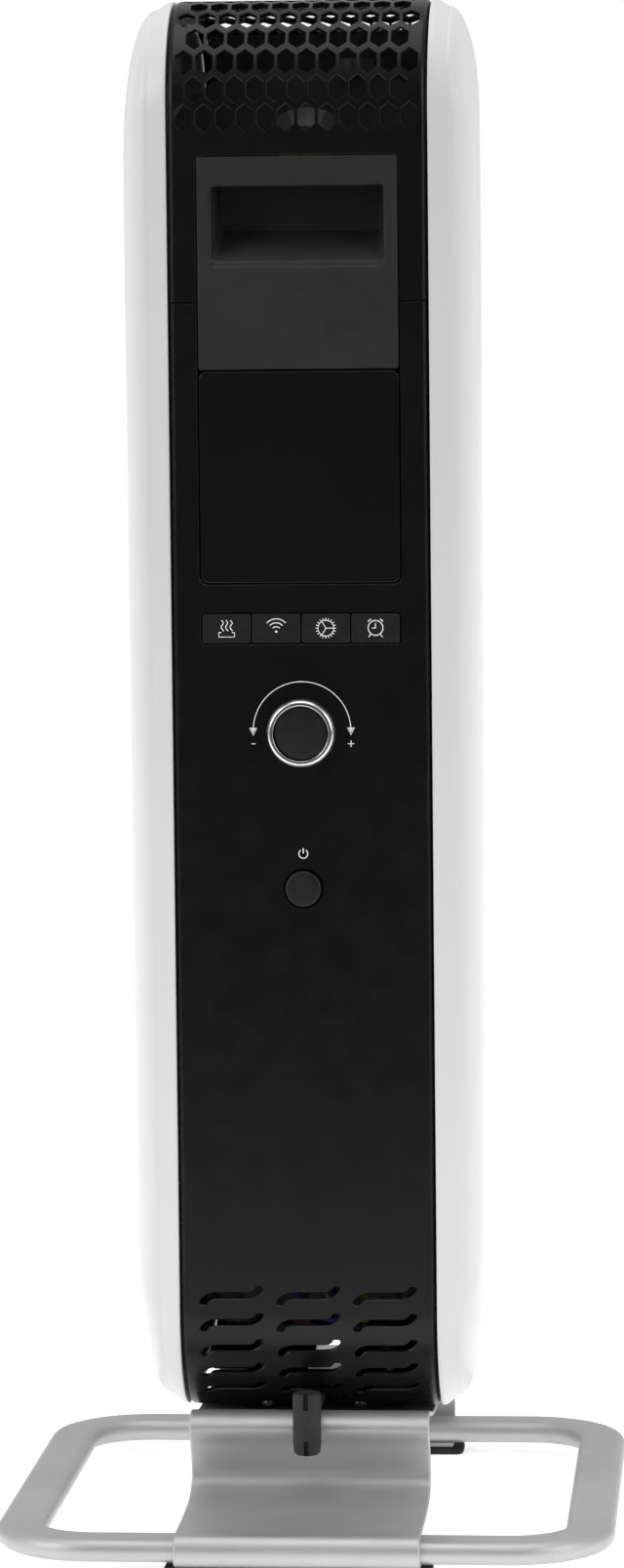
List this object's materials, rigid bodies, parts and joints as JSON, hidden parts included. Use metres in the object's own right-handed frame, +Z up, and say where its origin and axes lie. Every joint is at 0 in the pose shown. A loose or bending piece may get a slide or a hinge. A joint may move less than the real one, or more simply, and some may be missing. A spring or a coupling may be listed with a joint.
{
  "type": "oil filled radiator heater",
  "caption": "Compact oil filled radiator heater with white steel side casings, a black control end, a honeycomb top grille and a silver sled base.",
  "frame": {"origin": "on the floor under the middle of the base", "axes": "+Z up, -Y towards the control end, X across the heater"},
  "size_m": [0.252, 0.2592, 0.6305],
  "materials": {
    "white_enamel": "smooth satin powder coat",
    "black_plastic": "fine semi-gloss moulding",
    "satin_aluminium": "satin silver",
    "charcoal_plastic": "matte, fine grained",
    "window_gloss": "polished dark window",
    "dial_silver": "satin chrome",
    "rubber": "matte",
    "zinc_steel": "zinc plated",
    "grey_enamel": "painted dark grey",
    "brass": "turned",
    "circuit_board": "coated circuit board",
    "component_plastic": "moulded",
    "screw_black": "blackened steel"
  },
  "bodies": {
    "heater": {"left_casing": "white_enamel", "right_casing": "white_enamel", "front_cover": "black_plastic", "rear_cover": "black_plastic", "top_grille": "black_plastic", "base_loop": "satin_aluminium", "base_sheet": "satin_aluminium", "front_handle_insert": "charcoal_plastic", "rear_handle_insert": "charcoal_plastic", "cord_gland": "charcoal_plastic", "display_window": "window_gloss", "front_glide_pad": "rubber", "rear_glide_pad": "rubber", "chassis_foot": "zinc_steel", "heat_shield": "zinc_steel", "upper_casing_bracket": "zinc_steel", "lower_casing_bracket": "zinc_steel", "heating_element": "zinc_steel", "tilt_switch_pin": "zinc_steel", "left_base_bolt": "zinc_steel", "right_base_bolt": "zinc_steel", "oil_column_1": "grey_enamel", "oil_column_2": "grey_enamel", "oil_column_3": "grey_enamel", "oil_column_4": "grey_enamel", "element_flange": "brass", "oil_fill_plug": "brass", "header_plug": "brass", "control_board": "circuit_board", "display_board": "circuit_board", "power_board": "circuit_board", "dial_encoder": "component_plastic", "power_switch": "component_plastic", "heater_relay": "component_plastic", "tilt_switch_body": "component_plastic", "thermal_cutout": "component_plastic", "room_sensor": "component_plastic", "terminal_block": "component_plastic", "rear_heat_shield": "screw_black", "front_left_screw": "screw_black", "front_right_screw": "screw_black", "rear_left_screw": "screw_black", "rear_right_screw": "screw_black"},
    "dial": {"dial_ring": "dial_silver"},
    "dial_cap": {"dial_cap": "charcoal_plastic"},
    "heat_key": {"heat_key": "charcoal_plastic"},
    "wireless_key": {"wireless_key": "charcoal_plastic"},
    "settings_key": {"settings_key": "charcoal_plastic"},
    "timer_key": {"timer_key": "charcoal_plastic"},
    "power_button": {"power_button": "charcoal_plastic"},
    "tilt_pendulum": {"tilt_pendulum": "zinc_steel"}
  },
  "joints": [
    {"name": "dial_turn", "type": "hinge", "parent": "heater", "child": "dial", "pos_m": [0, -0.0595, 0.3333], "axis": [0, 1, 0], "continuous": true},
    {"name": "dial_cap_press", "type": "slide", "parent": "dial", "child": "dial_cap", "axis": [0, 1, 0], "range_m": [0, 0.0008], "stiffness_N_per_m": 600, "springref_m": -0.0006},
    {"name": "heat_key_press", "type": "slide", "parent": "heater", "child": "heat_key", "axis": [0, 1, 0], "range_m": [0, 0.0008], "stiffness_N_per_m": 500, "springref_m": -0.0006},
    {"name": "wireless_key_press", "type": "slide", "parent": "heater", "child": "wireless_key", "axis": [0, 1, 0], "range_m": [0, 0.0008], "stiffness_N_per_m": 500, "springref_m": -0.0006},
    {"name": "settings_key_press", "type": "slide", "parent": "heater", "child": "settings_key", "axis": [0, 1, 0], "range_m": [0, 0.0008], "stiffness_N_per_m": 500, "springref_m": -0.0006},
    {"name": "timer_key_press", "type": "slide", "parent": "heater", "child": "timer_key", "axis": [0, 1, 0], "range_m": [0, 0.0008], "stiffness_N_per_m": 500, "springref_m": -0.0006},
    {"name": "power_button_press", "type": "slide", "parent": "heater", "child": "power_button", "axis": [0, 1, 0], "range_m": [0, 0.002], "stiffness_N_per_m": 400, "springref_m": -0.0008},
    {"name": "tilt_pendulum_swing", "type": "hinge", "parent": "heater", "child": "tilt_pendulum", "pos_m": [0.032, -0.0315, 0.1353], "axis": [0, 1, 0], "range_deg": [-20, 20]}
  ]
}
